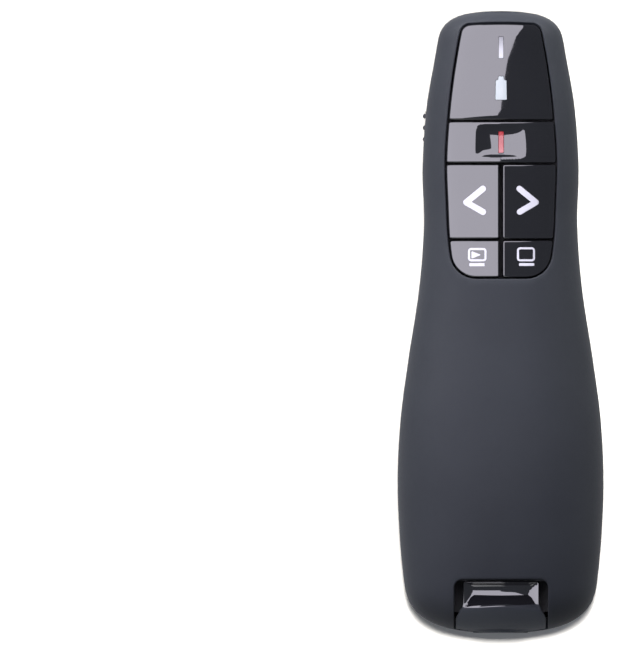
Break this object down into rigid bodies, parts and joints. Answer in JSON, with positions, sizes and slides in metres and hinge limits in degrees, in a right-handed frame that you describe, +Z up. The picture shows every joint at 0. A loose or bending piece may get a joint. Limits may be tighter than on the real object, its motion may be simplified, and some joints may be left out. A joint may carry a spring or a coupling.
{
  "type": "wireless presentation clicker",
  "caption": "Handheld presentation clicker with a glossy keypad, laser key, side power slide, sliding battery door and a USB receiver that parks in its tail.",
  "frame": {"origin": "middle of the bounding box at its foot: the clicker lies on its back on z = 0", "axes": "+Y along the body towards the nose, +Z up out of the keys, +X right with the keys read upright"},
  "size_m": [0.0382, 0.1156, 0.0274],
  "materials": {
    "soft_touch_front": "soft-touch, dark blue-grey",
    "soft_touch_back": "soft-touch, near black",
    "label_yellow": "satin film",
    "frame_black": "dark gap",
    "gloss_black": "piano black",
    "light_white": "diffusing guide",
    "light_blue": "diffusing guide",
    "light_red": "red insert",
    "chip_black": "moulded",
    "switch_metal": "pressed cans",
    "board_green": "solder mask",
    "led_white": "diode body",
    "brass": "turned",
    "lens": "clear",
    "lead_metal": "tinned",
    "tray_black": "moulded",
    "ring_metal": "plated",
    "knob_black": "moulded",
    "cell_jacket": "plain jacket",
    "contact_metal": "nickel plated",
    "screw_metal": "zinc plated",
    "receiver_black": "moulded",
    "tongue_white": "moulded",
    "gold": "gold plated"
  },
  "bodies": {
    "case": {"front_shell": "soft_touch_front", "rear_shell": "soft_touch_back", "label_sticker": "label_yellow", "keypad_frame": "frame_black", "window_panel": "gloss_black", "status_light_pipe": "light_white", "battery_light_pipe": "light_blue", "key_switches": "switch_metal", "circuit_board": "board_green", "controller_chip": "chip_black", "radio_chip": "chip_black", "crystal": "switch_metal", "status_led": "led_white", "battery_led": "led_white", "laser_barrel": "brass", "laser_diode": "switch_metal", "laser_lens": "lens", "laser_leads": "lead_metal", "laser_holder": "tray_black", "aperture_ring": "ring_metal", "aperture_window": "lens", "power_switch_body": "switch_metal", "battery_tray": "tray_black", "battery_cell_left": "cell_jacket", "battery_cell_right": "cell_jacket", "positive_contact": "contact_metal", "negative_contact": "contact_metal", "bridge_contact": "contact_metal", "contact_springs": "contact_metal", "case_screws": "screw_metal"},
    "laser_key": {"laser_button": "gloss_black", "laser_button_light": "light_red", "laser_switch_stem": "chip_black"},
    "previous_key": {"previous_button": "gloss_black", "previous_switch_stem": "chip_black"},
    "next_key": {"next_button": "gloss_black", "next_switch_stem": "chip_black"},
    "play_key": {"play_button": "gloss_black", "play_switch_stem": "chip_black"},
    "blank_screen_key": {"blank_screen_button": "gloss_black", "blank_switch_stem": "chip_black"},
    "power_slide": {"power_switch_knob": "knob_black", "power_switch_actuator": "chip_black"},
    "door": {"battery_door": "soft_touch_back"},
    "receiver": {"receiver_upper_housing": "receiver_black", "receiver_lower_housing": "receiver_black", "receiver_grip": "gloss_black", "usb_plug_shell": "ring_metal", "usb_tongue": "tongue_white", "usb_contacts": "gold", "receiver_board": "board_green", "receiver_chip": "chip_black"}
  },
  "joints": [
    {"name": "laser_press", "type": "slide", "parent": "case", "child": "laser_key", "axis": [0, 0, -1], "range_m": [0, 0.0006], "stiffness_N_per_m": 300, "springref_m": -0.0003},
    {"name": "previous_press", "type": "slide", "parent": "case", "child": "previous_key", "axis": [0, 0, -1], "range_m": [0, 0.0006], "stiffness_N_per_m": 300, "springref_m": -0.0003},
    {"name": "next_press", "type": "slide", "parent": "case", "child": "next_key", "axis": [0, 0, -1], "range_m": [0, 0.0006], "stiffness_N_per_m": 300, "springref_m": -0.0003},
    {"name": "play_press", "type": "slide", "parent": "case", "child": "play_key", "axis": [0, 0, -1], "range_m": [0, 0.0006], "stiffness_N_per_m": 300, "springref_m": -0.0003},
    {"name": "blank_screen_press", "type": "slide", "parent": "case", "child": "blank_screen_key", "axis": [0, 0, -1], "range_m": [0, 0.0006], "stiffness_N_per_m": 300, "springref_m": -0.0003},
    {"name": "power_slide", "type": "slide", "parent": "case", "child": "power_slide", "axis": [0, -1, 0], "range_m": [0, 0.002]},
    {"name": "door_slide", "type": "slide", "parent": "case", "child": "door", "axis": [0, -1, 0], "range_m": [0, 0.06]},
    {"name": "receiver_pull", "type": "slide", "parent": "case", "child": "receiver", "axis": [0, -1, 0], "range_m": [0, 0.062]}
  ]
}
